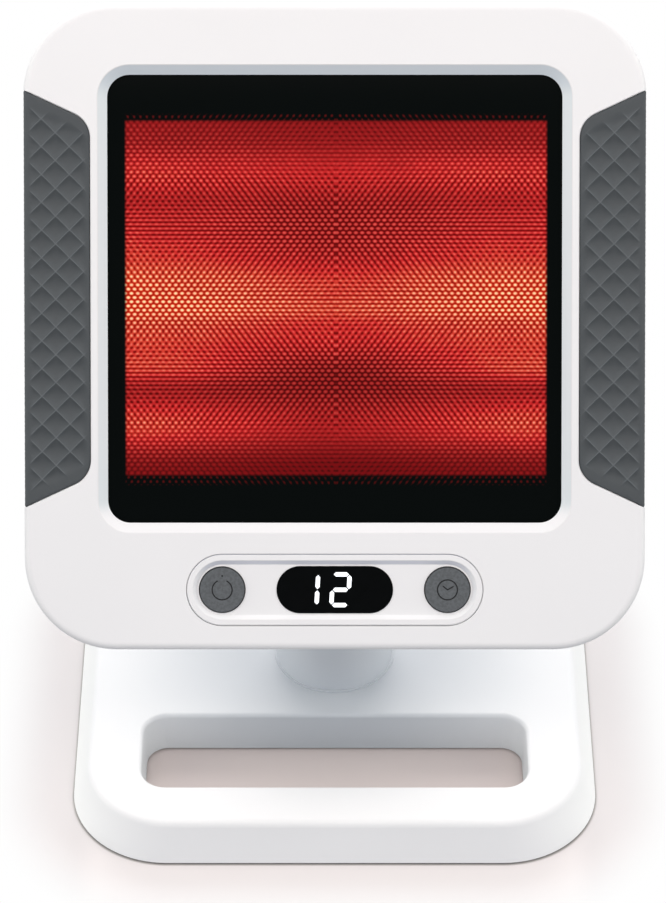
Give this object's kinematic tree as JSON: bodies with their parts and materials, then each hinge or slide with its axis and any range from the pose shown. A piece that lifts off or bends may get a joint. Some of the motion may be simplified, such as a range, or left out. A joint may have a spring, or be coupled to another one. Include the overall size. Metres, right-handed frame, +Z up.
{
  "type": "infrared heat lamp",
  "caption": "Table-top infrared heat lamp: flat black-glass heating head with side grips, buttons and timer display, tilting on a round neck above a base with a handle slot.",
  "frame": {"origin": "middle of the lamp's outline box at its lowest point, on the table plane under the feet", "axes": "+X to the viewer's right when facing the glass, -Y towards the viewer, +Z up; the head leans back 38.5 degrees from upright at rest"},
  "size_m": [0.26, 0.1985, 0.3508],
  "materials": {
    "white_shell": "fine matt white moulding",
    "grip_grey": "matt dark grey, diamond pattern",
    "button_grey": "matt grey",
    "black_glass": "polished black glass-ceramic",
    "display_black": "glossy black",
    "digit_white": "lit white segments",
    "black_rubber": "matt black",
    "zinc_steel": "bright zinc plated",
    "polished_aluminium": "bright rolled",
    "quartz": "clear quartz",
    "heater_wire": "glowing wire",
    "white_ceramic": "unglazed",
    "thermostat_black": "moulded black",
    "transformer_yellow": "wound coil tape",
    "board_green": "solder mask",
    "bushing_brass": "plain",
    "friction_grey": "nylon",
    "base_plate_grey": "powder coated steel"
  },
  "bodies": {
    "stand": {"base_housing": "white_shell", "base_plate": "base_plate_grey", "base_screws": "zinc_steel", "rubber_feet": "black_rubber", "terminal_block": "white_ceramic", "terminal_screws": "zinc_steel", "cord_grommet": "black_rubber", "neck_tube": "zinc_steel", "tube_screws": "zinc_steel", "neck_cover": "white_shell", "knuckle": "white_shell", "axle_bushings": "bushing_brass", "friction_discs": "friction_grey"},
    "head": {"front_frame": "white_shell", "rear_cover": "white_shell", "control_strip": "white_shell", "hinge_yoke": "white_shell", "hinge_caps": "white_shell", "grip_left": "grip_grey", "grip_right": "grip_grey", "glass_panel": "black_glass", "display_window": "display_black", "display_digits": "digit_white", "glass_gasket": "black_rubber", "glass_retainer": "zinc_steel", "heat_shield": "zinc_steel", "hinge_backing_plate": "zinc_steel", "retainer_screws": "zinc_steel", "board_screws": "zinc_steel", "case_screws": "zinc_steel", "power_board_screws": "zinc_steel", "yoke_screws": "zinc_steel", "hinge_axle": "zinc_steel", "spring_washers": "zinc_steel", "axle_nut": "zinc_steel", "reflector": "polished_aluminium", "heater_tube": "quartz", "heater_filament": "heater_wire", "tube_holders": "white_ceramic", "thermal_cutout": "thermostat_black", "display_module": "thermostat_black", "push_switches": "thermostat_black", "power_relay": "thermostat_black", "board_transformer": "transformer_yellow", "control_board": "board_green", "power_board": "board_green"},
    "power_button": {"power_button": "button_grey"},
    "timer_button": {"timer_button": "button_grey"}
  },
  "joints": [
    {"name": "head_tilt", "type": "hinge", "parent": "stand", "child": "head", "pos_m": [0, 0.0224, 0.15865], "axis": [-1, 0, 0], "range_deg": [-38.5, 11.5]},
    {"name": "power_button_press", "type": "slide", "parent": "head", "child": "power_button", "axis": [0, 0.7826, -0.6225], "range_m": [0, 0.0006], "stiffness_N_per_m": 400, "springref_m": -0.001},
    {"name": "timer_button_press", "type": "slide", "parent": "head", "child": "timer_button", "axis": [0, 0.7826, -0.6225], "range_m": [0, 0.0006], "stiffness_N_per_m": 400, "springref_m": -0.001}
  ]
}
